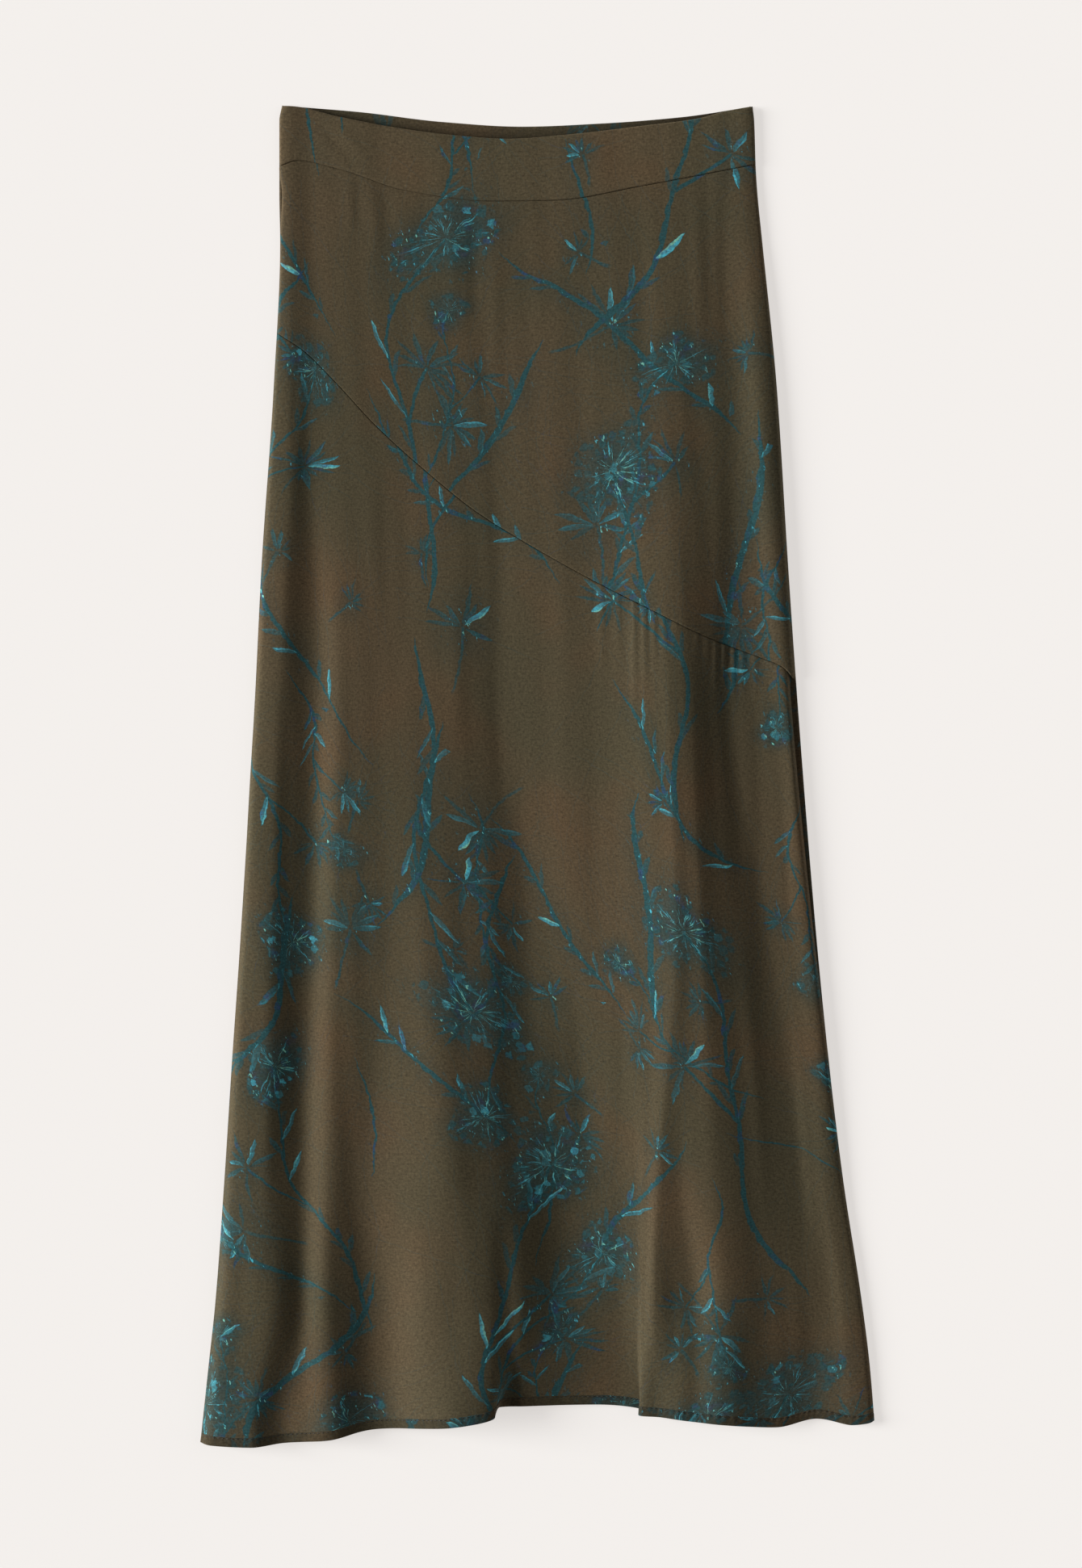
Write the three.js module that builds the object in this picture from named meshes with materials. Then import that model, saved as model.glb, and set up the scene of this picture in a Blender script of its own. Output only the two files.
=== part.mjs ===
// A maxi skirt laid flat on its back, front side up. Millimetres, +Y towards the waist, +X to the viewer's
// right, +Z up from the surface that it lies on. The origin is under the middle of the skirt.
// The pieces are the ones that are cut and sewn: a front and a back waistband, an upper front panel, a lower
// front panel below the slanting seam, with its turned hem, and a back panel.
import * as THREE from "three";

// Driving sizes
const CLOTH = 1.2; // wall of a single panel
const BAND = 2; // wall of a waistband, which is faced
const SEAM = 0.3; // gap between two pieces that are sewn together
const HEM_DEPTH = 7; // width of the double-turned hem
const HEM_RISE = 0.5; // how far the turned hem stands above the panel
const HEM_STEP = 0.4; // length of the slope from the panel up to the hem
const BAND_RISE = 0.7; // how far the front waistband stands above the panel below it
const EDGE_LIP = 0.1; // how much higher the front's outer edge stands than its inner one, on the back

// The sides as laid. Columns: y, left edge, right edge, and how far the front is rolled in from the back's
// edge on the left (upper panel) and on the right (lower panel).
const SIDES = [
  { y: 497, left: -190, right: 159.6, rollLeft: 0, rollRight: 0 },
  { y: 486, left: -192, right: 160.8, rollLeft: 0, rollRight: 0 },
  { y: 450, left: -192, right: 162, rollLeft: 0, rollRight: 0 },
  { y: 432, left: -192, right: 163.2, rollLeft: 2, rollRight: 0 },
  { y: 396, left: -191.4, right: 166.8, rollLeft: 0, rollRight: 0 },
  { y: 288, left: -196.2, right: 177.6, rollLeft: 0, rollRight: 0 },
  { y: 156, left: -205.2, right: 186, rollLeft: 0, rollRight: 0 },
  { y: 60, left: -210, right: 192.6, rollLeft: 0, rollRight: 4.6 },
  { y: -120, left: -220.8, right: 207, rollLeft: 0, rollRight: 2 },
  { y: -216, left: -227.4, right: 216.6, rollLeft: 0, rollRight: 0 },
  { y: -300, left: -232.8, right: 226.8, rollLeft: 0, rollRight: 0 },
  { y: -390, left: -239.4, right: 240.6, rollLeft: 0, rollRight: 0 },
  { y: -438, left: -244.5, right: 246.6, rollLeft: 0, rollRight: 0 },
  { y: -497, left: -250.8, right: 251.4, rollLeft: 0, rollRight: 0 },
];

// Heights along the skirt at which each fold below is given
const STATIONS = { waist: 450, hip: 240, thigh: 60, knee: -120, calf: -300, shin: -390, hem: -480 };

// The front's folds from left to right: the x of each crest, furrow or fold side at the stations, the height
// of the cloth's outer face there, and the y at which the line meets the hem. Where x runs back, as from
// foldSide to foldFoot at the hem, the cloth folds over itself.
const FOLDS = [
  {
    name: "leftRoll",
    x: { waist: -183.6, hip: -184.8, thigh: -192.6, knee: -199.2, calf: -202.8, shin: -202.8, hem: -212.4 },
    z: { waist: 5, hip: 7.5, thigh: 10.5, knee: 12.5, calf: 15, shin: 17, hem: 16 },
    hemY: -498,
  },
  {
    name: "leftFurrow",
    x: { waist: -168, hip: -166.8, thigh: -165.6, knee: -170.4, calf: -176.4, shin: -178.2, hem: -187.8 },
    z: { waist: 4.3, hip: 4.2, thigh: 4.2, knee: 4.5, calf: 5, shin: 5.6, hem: 5.2 },
    hemY: -495.3,
  },
  {
    name: "leftRidge",
    x: { waist: -141.6, hip: -144, thigh: -144.6, knee: -148.8, calf: -154.8, shin: -157.8, hem: -154.8 },
    z: { waist: 4.9, hip: 5.4, thigh: 10, knee: 12.5, calf: 15, shin: 17, hem: 17 },
    hemY: -492.6,
  },
  {
    name: "leftDip",
    x: { waist: -111.6, hip: -111.6, thigh: -114.6, knee: -114.6, calf: -126, shin: -121.2, hem: -121.2 },
    z: { waist: 4.6, hip: 5, thigh: 8.6, knee: 11.5, calf: 10.5, shin: 7.5, hem: 6.4 },
    hemY: -485.4,
  },
  {
    name: "middleRidge",
    x: { waist: -75.6, hip: -75.6, thigh: -84.6, knee: -80.4, calf: -68.4, shin: -69.6, hem: -64.8 },
    z: { waist: 5, hip: 5.6, thigh: 8.8, knee: 15, calf: 24, shin: 27, hem: 27 },
    hemY: -482.1,
  },
  {
    name: "foldSide",
    x: { waist: -51.6, hip: -51.6, thigh: -57.6, knee: -44.4, calf: -36.6, shin: -32.4, hem: -31.8 },
    z: { waist: 4.8, hip: 5.4, thigh: 8, knee: 11.5, calf: 19, shin: 21, hem: 17 },
    hemY: -475.2,
  },
  {
    name: "foldFoot",
    x: { waist: -36.6, hip: -39.6, thigh: -39.6, knee: -19.2, calf: -2.4, shin: 6, hem: -34.2 },
    z: { waist: 4.6, hip: 5, thigh: 6, knee: 7, calf: 10.5, shin: 11, hem: 6.6 },
    hemY: -468.6,
  },
  {
    name: "middleValley",
    x: { waist: -15.6, hip: -26.4, thigh: -22.8, knee: 6, calf: 46.8, shin: 54.6, hem: 42 },
    z: { waist: 4.5, hip: 4.6, thigh: 4.4, knee: 4.2, calf: 4.2, shin: 3.9, hem: 3.4 },
    hemY: -467.4,
  },
  {
    name: "rightFoot",
    x: { waist: 20.4, hip: 14.4, thigh: 20.4, knee: 44.4, calf: 70.8, shin: 72, hem: 77.4 },
    z: { waist: 4.6, hip: 6.6, thigh: 8.5, knee: 9, calf: 7.6, shin: 6.4, hem: 4.4 },
    hemY: -471,
  },
  {
    name: "rightSide",
    x: { waist: 62.4, hip: 56.4, thigh: 62.4, knee: 81.6, calf: 80.4, shin: 78.6, hem: 74.4 },
    z: { waist: 4.8, hip: 8.8, thigh: 13.5, knee: 15.5, calf: 11.8, shin: 10.5, hem: 10.5 },
    hemY: -474.6,
  },
  {
    name: "rightRidge",
    x: { waist: 92.4, hip: 94.8, thigh: 97.2, knee: 103.2, calf: 90.6, shin: 87, hem: 91.2 },
    z: { waist: 5, hip: 11.5, thigh: 20, knee: 21.5, calf: 16.5, shin: 15, hem: 15.5 },
    hemY: -475.8,
  },
  {
    name: "rightDip",
    x: { waist: 104.4, hip: 103.8, thigh: 105, knee: 111.6, calf: 105.6, shin: 115.2, hem: 115.2 },
    z: { waist: 4.9, hip: 11.2, thigh: 19.6, knee: 21, calf: 15.6, shin: 11.5, hem: 10.5 },
    hemY: -478.8,
  },
  {
    name: "secondRidge",
    x: { waist: 119.4, hip: 116.4, thigh: 114, knee: 120, calf: 128.4, shin: 136.2, hem: 138.6 },
    z: { waist: 4.8, hip: 10, thigh: 18, knee: 20.5, calf: 18.5, shin: 18, hem: 17 },
    hemY: -481,
  },
  {
    name: "rightSlope",
    x: { waist: 130.8, hip: 131.4, thigh: 129, knee: 144, calf: 164.4, shin: 173.4, hem: 176.4 },
    z: { waist: 4.7, hip: 8, thigh: 12.5, knee: 13.5, calf: 11, shin: 10.5, hem: 10 },
    hemY: -483.6,
  },
  {
    name: "rightFurrow",
    x: { waist: 140.4, hip: 147.6, thigh: 145.2, knee: 173.4, calf: 197.4, shin: 211.2, hem: 207 },
    z: { waist: 4.5, hip: 6, thigh: 7, knee: 6, calf: 5, shin: 4.6, hem: 4 },
    hemY: -477.8,
  },
  {
    name: "rightRoll",
    x: { waist: 152.4, hip: 165.6, thigh: 171.6, knee: 192, calf: 212.4, shin: 226.8, hem: 232.8 },
    z: { waist: 4.8, hip: 7, thigh: 7.4, knee: 6.4, calf: 6.2, shin: 6.2, hem: 6.4 },
    hemY: -482.4,
  },
];
const LEFT_CORNER_Y = -495.6; // the hem at the left side seam
const RIGHT_CORNER_Y = -479.4; // the hem at the right side seam
// Where a side rolls down to the back: the share of the way to the next fold, and of its height there
const SHOULDER = { along: 0.2, up: 0.72 };

// Seams and waist edges, as y over x
const BACK_TOP = [
  { x: -190, y: 497.4 },
  { x: -132, y: 492.6 },
  { x: -72, y: 485.4 },
  { x: -12, y: 481.8 },
  { x: 48, y: 484.2 },
  { x: 108, y: 489 },
  { x: 159.6, y: 496.8 },
];
const FRONT_TOP = [
  { x: -190, y: 497 },
  { x: -181, y: 496.6 },
  { x: -148, y: 489 },
  { x: -104, y: 480.6 },
  { x: -63, y: 475.2 },
  { x: -21.6, y: 472.5 },
  { x: 18, y: 475.2 },
  { x: 75.6, y: 481.8 },
  { x: 117, y: 487.2 },
  { x: 143.4, y: 493.8 },
  { x: 159.6, y: 496.6 },
];
const BAND_SEAM = [
  { x: -192, y: 451.8 },
  { x: -178, y: 456 },
  { x: -145.8, y: 449.4 },
  { x: -97.2, y: 433.8 },
  { x: -35.4, y: 426 },
  { x: 13.8, y: 426.6 },
  { x: 75.6, y: 436.8 },
  { x: 137.4, y: 448.5 },
  { x: 162, y: 453.3 },
];
const SLANT_SEAM = [
  { x: -194, y: 328 },
  { x: -174.6, y: 315.6 },
  { x: -151.2, y: 292.8 },
  { x: -119.4, y: 258.6 },
  { x: -81.6, y: 224.4 },
  { x: -47.4, y: 196.8 },
  { x: -15.6, y: 176.4 },
  { x: 29.4, y: 150.6 },
  { x: 84.6, y: 121.8 },
  { x: 129.6, y: 100.2 },
  { x: 167, y: 86.4 },
  { x: 181, y: 80.4 },
  { x: 192.6, y: 69.6 },
];

// The back's hem, which stays just behind the front's
const BACK_HEM = [
  { x: -250.6, y: -494 },
  { x: -188, y: -489 },
  { x: -110, y: -477 },
  { x: -32, y: -464.5 },
  { x: 78, y: -464.5 },
  { x: 150, y: -474 },
  { x: 200, y: -474 },
  { x: 250.6, y: -478 },
];

// The gathers eased into the slanting seam, on the lower panel: x at the seam, width, height and length
const GATHERS = [
  { x: 47, width: 8, rise: 0.7, length: 45 },
  { x: 55, width: 7, rise: 1, length: 60 },
  { x: 63, width: 8, rise: 1.2, length: 75 },
  { x: 71.5, width: 8, rise: 1.1, length: 60 },
  { x: 79.5, width: 8, rise: 1.2, length: 70 },
  { x: 88, width: 8, rise: 0.8, length: 45 },
  { x: 129, width: 8, rise: 0.7, length: 28 },
  { x: 138, width: 9, rise: 1, length: 34 },
  { x: 147.5, width: 9, rise: 1, length: 30 },
  { x: 157, width: 9, rise: 0.9, length: 34 },
  { x: 166.5, width: 9, rise: 0.8, length: 26 },
];

// How finely the pieces are divided: columns of faces between neighbouring fold lines, closer where the
// gathers lie, rows of faces down each front piece, and steps along an edge of the flat back
const PLAIN_COLUMNS = 3;
const GATHER_COLUMNS = { rightFoot: 10, rightSide: 14, rightSlope: 7, rightFurrow: 11 };
const ROWS = { waistband: 2, upper: 8, lower: 19 };
const FLAT_STEPS = 24;
const MEETING_TURNS = 12; // rounds in which a column's crossing with a seam is found

const CLOTH_LOOK = new THREE.MeshStandardMaterial({ color: 0x554b37, roughness: 0.75, metalness: 0 });
const BAND_LOOK = new THREE.MeshStandardMaterial({ color: 0x5a4c38, roughness: 0.75, metalness: 0 });

// A smooth curve through values at rising knots, which never overshoots them
function through(knots, values, at) {
  const last = knots.length - 1;
  const t = Math.min(Math.max(at, knots[0]), knots[last]);
  let k = 0;
  while (k < last - 1 && t > knots[k + 1]) k++;
  const rate = (i) => (values[i + 1] - values[i]) / (knots[i + 1] - knots[i]);
  const slope = (i) => {
    if (i === 0) return rate(0);
    if (i === last) return rate(last - 1);
    const before = rate(i - 1);
    const after = rate(i);
    return before * after <= 0 ? 0 : (2 * before * after) / (before + after);
  };
  const step = knots[k + 1] - knots[k];
  const u = (t - knots[k]) / step;
  const rest = 1 - u;
  return (
    values[k] * (1 + 2 * u) * rest * rest +
    values[k + 1] * u * u * (3 - 2 * u) +
    step * (slope(k) * u * rest * rest - slope(k + 1) * u * u * rest)
  );
}

// A table's column over another of its columns, as a function. The knots may fall or rise down the table.
function curve(rows, knotOf, valueOf) {
  const sorted = [...rows].sort((a, b) => knotOf(a) - knotOf(b));
  const knots = sorted.map(knotOf);
  const values = sorted.map(valueOf);
  return (at) => through(knots, values, at);
}

const overX = (rows) => curve(rows, (r) => r.x, (r) => r.y);
const backTop = overX(BACK_TOP);
const frontTop = overX(FRONT_TOP);
const bandSeam = overX(BAND_SEAM);
const slantSeam = overX(SLANT_SEAM);
const backHem = overX(BACK_HEM);
const side = (column) => curve(SIDES, (r) => r.y, (r) => r[column]);
const leftEdge = side("left");
const rightEdge = side("right");
const rollLeft = side("rollLeft");
const rollRight = side("rollRight");
const stationNames = Object.keys(STATIONS);
const alongFold = (fold, kind) =>
  curve(stationNames, (name) => STATIONS[name], (name) => fold[kind][name]);
const folds = FOLDS.map((fold) => ({
  ...fold,
  xAt: alongFold(fold, "x"),
  zAt: alongFold(fold, "z"),
}));

// The control points of the front's cross-section at one y, from side to side
function section(y, panel) {
  const left = leftEdge(y) + rollLeft(y) * panel.rolledIn.left;
  const right = rightEdge(y) - rollRight(y) * panel.rolledIn.right;
  const inner = folds.map((fold) => ({ x: fold.xAt(y), z: fold.zAt(y) + panel.rise }));
  const lip = panel.foot + EDGE_LIP;
  const shoulder = (edge, next) => ({
    x: edge + (next.x - edge) * SHOULDER.along,
    z: lip + (next.z - lip) * SHOULDER.up,
  });
  return [
    { x: left, z: lip },
    shoulder(left, inner[0]),
    ...inner,
    shoulder(right, inner.at(-1)),
    { x: right, z: lip },
  ];
}

const POINTS = FOLDS.length + 4;
const INDEX = [...Array(POINTS).keys()];
const hemYs = [
  LEFT_CORNER_Y,
  (LEFT_CORNER_Y + FOLDS[0].hemY) / 2,
  ...FOLDS.map((fold) => fold.hemY),
  (RIGHT_CORNER_Y + FOLDS.at(-1).hemY) / 2,
  RIGHT_CORNER_Y,
];
const hemY = (s) => through(INDEX, hemYs, s);

// The places across the front at which a piece has a column of corners
function columnPlaces(closer) {
  const places = [0];
  for (let i = 0; i < POINTS - 1; i++) {
    const count = closer[FOLDS[i - 2]?.name] ?? PLAIN_COLUMNS;
    for (let k = 1; k <= count; k++) places.push(i + k / count);
  }
  return places;
}

// The y at which column s meets a seam that is given as y over x
function meets(s, seam, panel) {
  let y = 0;
  for (let turn = 0; turn < MEETING_TURNS; turn++) y = seam(xOf(s, y, panel));
  return y;
}

function xOf(s, y, panel) {
  return through(INDEX, section(y, panel).map((p) => p.x), s);
}

function zOf(s, y, panel) {
  return through(INDEX, section(y, panel).map((p) => p.z), s);
}

// How far the gathers lift the lower panel at x, this far below the slanting seam
function gathered(x, below) {
  return GATHERS.reduce((sum, g) => {
    const across = Math.abs(x - g.x) / (g.width / 2);
    if (across >= 1 || below >= g.length) return sum;
    const fade = 1 - below / g.length;
    return sum + g.rise * Math.cos((across * Math.PI) / 2) ** 2 * fade * fade * (3 - 2 * fade);
  }, 0);
}

// A closed wall: rows of outer corners, and the same rows moved in along the surface's normal. The move has
// no part along Y, so that the gap at a seam is the same all through the wall. It never goes below foot.
function wall(rows, thickness, foot) {
  const height = rows.length;
  const width = rows[0].length;
  const at = (i, j) => rows[Math.min(Math.max(i, 0), height - 1)][Math.min(Math.max(j, 0), width - 1)];
  const positions = [];
  const push = (p) => positions.push(p.x, p.y, p.z);
  rows.forEach((row) => row.forEach((p) => push(p.point)));
  rows.forEach((row, i) =>
    row.forEach((p, j) => {
      const across = new THREE.Vector3().subVectors(at(i, j + 1).base, at(i, j - 1).base);
      const down = new THREE.Vector3().subVectors(at(i + 1, j).base, at(i - 1, j).base);
      const normal = down.cross(across).setY(0).normalize();
      const inside = p.base.clone().addScaledVector(normal, -thickness);
      push(inside.setZ(Math.max(inside.z, foot)));
    }),
  );
  const faces = [];
  const quad = (a, b, c, d) => faces.push(a, b, c, a, c, d);
  const outer = (i, j) => i * width + j;
  const inner = (i, j) => height * width + i * width + j;
  for (let i = 0; i < height - 1; i++) {
    for (let j = 0; j < width - 1; j++) {
      quad(outer(i, j), outer(i + 1, j), outer(i + 1, j + 1), outer(i, j + 1));
      quad(inner(i, j), inner(i, j + 1), inner(i + 1, j + 1), inner(i + 1, j));
    }
    quad(outer(i, 0), inner(i, 0), inner(i + 1, 0), outer(i + 1, 0));
    quad(outer(i, width - 1), outer(i + 1, width - 1), inner(i + 1, width - 1), inner(i, width - 1));
  }
  for (let j = 0; j < width - 1; j++) {
    quad(outer(0, j), outer(0, j + 1), inner(0, j + 1), inner(0, j));
    quad(outer(height - 1, j), inner(height - 1, j), inner(height - 1, j + 1), outer(height - 1, j + 1));
  }
  const geometry = new THREE.BufferGeometry();
  geometry.setAttribute("position", new THREE.Float32BufferAttribute(positions, 3));
  geometry.setIndex(faces);
  geometry.computeVertexNormals();
  return geometry;
}

// A piece of the front: rows of points from its top edge to its lower edge. The base is the plain fold
// surface, from which the inside is taken, and the point is the outside with what stands on it.
function frontPiece({ panel, thickness, yRows, raised, closer = {} }) {
  const places = columnPlaces(closer);
  const columns = places.map((s) => yRows(s));
  const rows = columns[0].map((unused, i) =>
    places.map((s, j) => {
      const { y, rise } = columns[j][i];
      const x = xOf(s, y, panel);
      const z = zOf(s, y, panel);
      const lift = rise + (raised ? raised(x, y) : 0);
      return { base: new THREE.Vector3(x, y, z), point: new THREE.Vector3(x, y, z + lift) };
    }),
  );
  return wall(rows, thickness, panel.foot);
}

// Evenly spaced numbers from one end to the other
function steps(from, to, count) {
  return [...Array(count + 1).keys()].map((k) => from + ((to - from) * k) / count);
}

// Shares of the way down a piece, closer together at both ends
function spread(count) {
  const ends = 0.07;
  return steps(0, 1, count).map((u) => u - ends * Math.sin(2 * Math.PI * u));
}

// The panels of the front: how far each stands above the fold table's heights, the height that its inside
// keeps above the floor, and which of its edges is rolled in
const bandPanel = { rise: BAND_RISE, foot: BAND + SEAM, rolledIn: { left: 0, right: 0 } };
const upperPanel = { rise: 0, foot: CLOTH + SEAM, rolledIn: { left: 1, right: 0 } };
const lowerPanel = { rise: 0, foot: CLOTH + SEAM, rolledIn: { left: 0, right: 1 } };

function waistbandFront() {
  return frontPiece({
    panel: bandPanel,
    thickness: BAND,
    yRows: (s) => {
      const top = meets(s, frontTop, bandPanel);
      const low = meets(s, bandSeam, bandPanel) + SEAM / 2;
      return steps(top, low, ROWS.waistband).map((y) => ({ y, rise: 0 }));
    },
  });
}

function frontUpper() {
  return frontPiece({
    panel: upperPanel,
    thickness: CLOTH,
    yRows: (s) => {
      const top = meets(s, bandSeam, upperPanel) - SEAM / 2;
      const low = meets(s, slantSeam, upperPanel) + SEAM / 2;
      return spread(ROWS.upper).map((share) => ({ y: top + (low - top) * share, rise: 0 }));
    },
  });
}

function frontLower() {
  return frontPiece({
    panel: lowerPanel,
    thickness: CLOTH,
    raised: (x, y) => gathered(x, slantSeam(x) - y),
    closer: GATHER_COLUMNS,
    yRows: (s) => {
      const top = meets(s, slantSeam, lowerPanel) - SEAM / 2;
      const hem = hemY(s);
      const turned = hem + HEM_DEPTH;
      return [
        ...spread(ROWS.lower).map((share) => ({ y: top + (turned + HEM_STEP - top) * share, rise: 0 })),
        { y: turned, rise: HEM_RISE },
        { y: hem, rise: HEM_RISE },
      ];
    },
  });
}

// A flat piece of the back, from its outline
function flatPiece(outline, thickness) {
  const shape = new THREE.Shape(outline.map(([x, y]) => new THREE.Vector2(x, y)));
  return new THREE.ExtrudeGeometry(shape, { depth: thickness, bevelEnabled: false });
}

function waistbandBack() {
  const [corner, below] = SIDES;
  const top = steps(corner.left, corner.right, FLAT_STEPS).map((x) => [x, backTop(x)]);
  const seam = steps(BAND_SEAM.at(-1).x, BAND_SEAM[0].x, FLAT_STEPS).map((x) => [x, bandSeam(x) + SEAM / 2]);
  return flatPiece([...top, [below.right, below.y], ...seam, [below.left, below.y]], BAND);
}

function backPanel() {
  const seam = steps(BAND_SEAM[0].x, BAND_SEAM.at(-1).x, FLAT_STEPS).map((x) => [x, bandSeam(x) - SEAM / 2]);
  const hem = steps(BACK_HEM.at(-1).x, BACK_HEM[0].x, FLAT_STEPS).map((x) => [x, backHem(x)]);
  const sideYs = SIDES.slice(3, -1).map((r) => r.y);
  const right = sideYs.map((y) => [rightEdge(y), y]);
  const left = [...sideYs].reverse().map((y) => [leftEdge(y), y]);
  return flatPiece([...seam, ...right, ...hem, ...left], CLOTH);
}

const piece = (name, geometry, look) => {
  const mesh = new THREE.Mesh(geometry, look);
  mesh.name = name;
  return mesh;
};

const skirt = new THREE.Group();
skirt.add(piece("waistband_front", waistbandFront(), BAND_LOOK));
skirt.add(piece("front_upper", frontUpper(), CLOTH_LOOK));
skirt.add(piece("front_lower", frontLower(), CLOTH_LOOK));
skirt.add(piece("waistband_back", waistbandBack(), BAND_LOOK));
skirt.add(piece("back_panel", backPanel(), CLOTH_LOOK));
export default skirt;
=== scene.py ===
# The looks of a maxi skirt laid flat on its back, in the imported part's frame: metres, +Y towards the waist,
# +X to the viewer's right, +Z up. Sizes below are in millimetres and become metres when a mesh is made.
import math
from collections import namedtuple

import bpy
import numpy as np
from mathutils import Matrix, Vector


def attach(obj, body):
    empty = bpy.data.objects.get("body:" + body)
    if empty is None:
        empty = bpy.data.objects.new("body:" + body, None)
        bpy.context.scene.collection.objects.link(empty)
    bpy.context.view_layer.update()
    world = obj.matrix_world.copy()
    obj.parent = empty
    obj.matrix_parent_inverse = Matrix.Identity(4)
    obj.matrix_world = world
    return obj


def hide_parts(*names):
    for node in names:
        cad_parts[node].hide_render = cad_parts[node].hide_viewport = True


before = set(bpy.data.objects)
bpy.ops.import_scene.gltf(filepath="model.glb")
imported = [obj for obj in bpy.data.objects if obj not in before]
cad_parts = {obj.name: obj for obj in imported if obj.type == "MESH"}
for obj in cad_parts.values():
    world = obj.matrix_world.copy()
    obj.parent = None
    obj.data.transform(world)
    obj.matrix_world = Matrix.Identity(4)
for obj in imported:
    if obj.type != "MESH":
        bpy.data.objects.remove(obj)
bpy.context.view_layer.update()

MM = 0.001

# Driving sizes
CLOTH = 0.6  # thickness of the single cloth
BAND = 1.3  # thickness of a faced waistband
BACK_BAND = 1.1  # thickness of the back waistband, which is pressed flat
HEM = 1.5  # thickness of the double-turned hem
BACK_HEM_BAND = 1.25  # thickness of the back's hem
HEM_DEPTH = 7  # width of the hem
HEM_RISE = 0.45  # how far the hem stands above the panel's face
BAND_RISE = 0.7  # how far the front waistband stands above the panel below it
FRONT_FOOT = 1.1  # lowest height of the front's inside, just above the back
BAND_FOOT = 1.15  # the same for the front waistband
HEM_FOOT = 1.4  # and for its hem
LIP = {"band": 2.4, "panel": 1.6}  # height of the front's outer edge at the sides
TURN_UP = {"band": 0.05, "panel": 0.45, "hem": 0.05}  # how far the back's sides turn up to meet it
TURN_UP_WIDTH = 2.5  # width of the strip that turns up
SEAM_ROLL = 1.3  # width of the strip beside a seam in which the cloth rolls down into it
SEAM_DROP = 0.65  # how deep it rolls
# How deep it rolls at some seams and edges, as a share of that
ROLL_SHARE = {"waist_edge": 2.2, "waistband": 1.2, "under_waistband": 0.6}
SEAM_GAP = 0.06  # gap between two pieces that are sewn together

# The sides as laid. Columns: y, left edge, right edge, and how far the front is rolled in from the back's
# edge on the left (upper panel) and on the right (lower panel).
SIDES = [
    (497, -190, 159.6, 0, 0),
    (486, -192, 160.8, 0, 0),
    (450, -192, 162, 0, 0),
    (432, -192, 163.2, 2, 0),
    (396, -191.4, 166.8, 0, 0),
    (288, -196.2, 177.6, 0, 0),
    (156, -205.2, 186, 0, 0),
    (60, -210, 192.6, 0, 4.6),
    (-120, -220.8, 207, 0, 2),
    (-216, -227.4, 216.6, 0, 0),
    (-300, -232.8, 226.8, 0, 0),
    (-390, -239.4, 240.6, 0, 0),
    (-438, -244.5, 246.6, 0, 0),
    (-497, -250.8, 251.4, 0, 0),
]

# The front's folds from left to right. FOLD_LINES has the name of each fold line, the y at which it meets the
# hem, and its x at each station. FOLD_HEIGHTS has the height of the cloth's face there, in the same order.
STATIONS = (450, 240, 60, -120, -300, -390, -480)  # waist, hip, thigh, knee, calf, shin, hem
FOLD_LINES = [
    ("left_roll", -498, -183.6, -184.8, -192.6, -199.2, -202.8, -202.8, -212.4),
    ("left_furrow", -495.3, -168, -166.8, -165.6, -170.4, -176.4, -178.2, -187.8),
    ("left_ridge", -492.6, -141.6, -144, -144.6, -148.8, -154.8, -157.8, -154.8),
    ("left_dip", -485.4, -111.6, -111.6, -114.6, -114.6, -126, -121.2, -121.2),
    ("middle_ridge", -482.1, -75.6, -75.6, -84.6, -80.4, -68.4, -69.6, -64.8),
    ("fold_side", -475.2, -51.6, -51.6, -57.6, -44.4, -36.6, -32.4, -31.8),
    ("fold_foot", -468.6, -36.6, -39.6, -39.6, -19.2, -2.4, 6, -34.2),
    ("middle_valley", -467.4, -15.6, -26.4, -22.8, 6, 46.8, 54.6, 42),
    ("right_foot", -471, 20.4, 14.4, 20.4, 44.4, 70.8, 72, 77.4),
    ("right_side", -474.6, 62.4, 56.4, 62.4, 81.6, 80.4, 78.6, 74.4),
    ("right_ridge", -475.8, 92.4, 94.8, 97.2, 103.2, 90.6, 87, 91.2),
    ("right_dip", -478.8, 104.4, 103.8, 105, 111.6, 105.6, 115.2, 115.2),
    ("second_ridge", -481, 119.4, 116.4, 114, 120, 128.4, 136.2, 138.6),
    ("right_slope", -483.6, 130.8, 131.4, 129, 144, 164.4, 173.4, 176.4),
    ("right_furrow", -477.8, 140.4, 147.6, 145.2, 173.4, 197.4, 211.2, 207),
    ("right_roll", -482.4, 152.4, 165.6, 171.6, 192, 212.4, 226.8, 232.8),
]
FOLD_HEIGHTS = [
    (5, 7.5, 10.5, 12.5, 15, 17, 16),
    (4.3, 4.2, 4.2, 4.5, 5, 5.6, 5.2),
    (4.9, 5.4, 10, 12.5, 15, 17, 17),
    (4.6, 5, 8.6, 11.5, 10.5, 7.5, 6.4),
    (5, 5.6, 8.8, 15, 24, 27, 27),
    (4.8, 5.4, 8, 11.5, 19, 21, 17),
    (4.6, 5, 6, 7, 10.5, 11, 6.6),
    (4.5, 4.6, 4.4, 4.2, 4.2, 3.9, 3.4),
    (4.6, 6.6, 8.5, 9, 7.6, 6.4, 4.4),
    (4.8, 8.8, 13.5, 15.5, 11.8, 10.5, 10.5),
    (5, 11.5, 20, 21.5, 16.5, 15, 15.5),
    (4.9, 11.2, 19.6, 21, 15.6, 11.5, 10.5),
    (4.8, 10, 18, 20.5, 18.5, 18, 17),
    (4.7, 8, 12.5, 13.5, 11, 10.5, 10),
    (4.5, 6, 7, 6, 5, 4.6, 4),
    (4.8, 7, 7.4, 6.4, 6.2, 6.2, 6.4),
]
Fold = namedtuple("Fold", "name hem_y x z")
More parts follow.
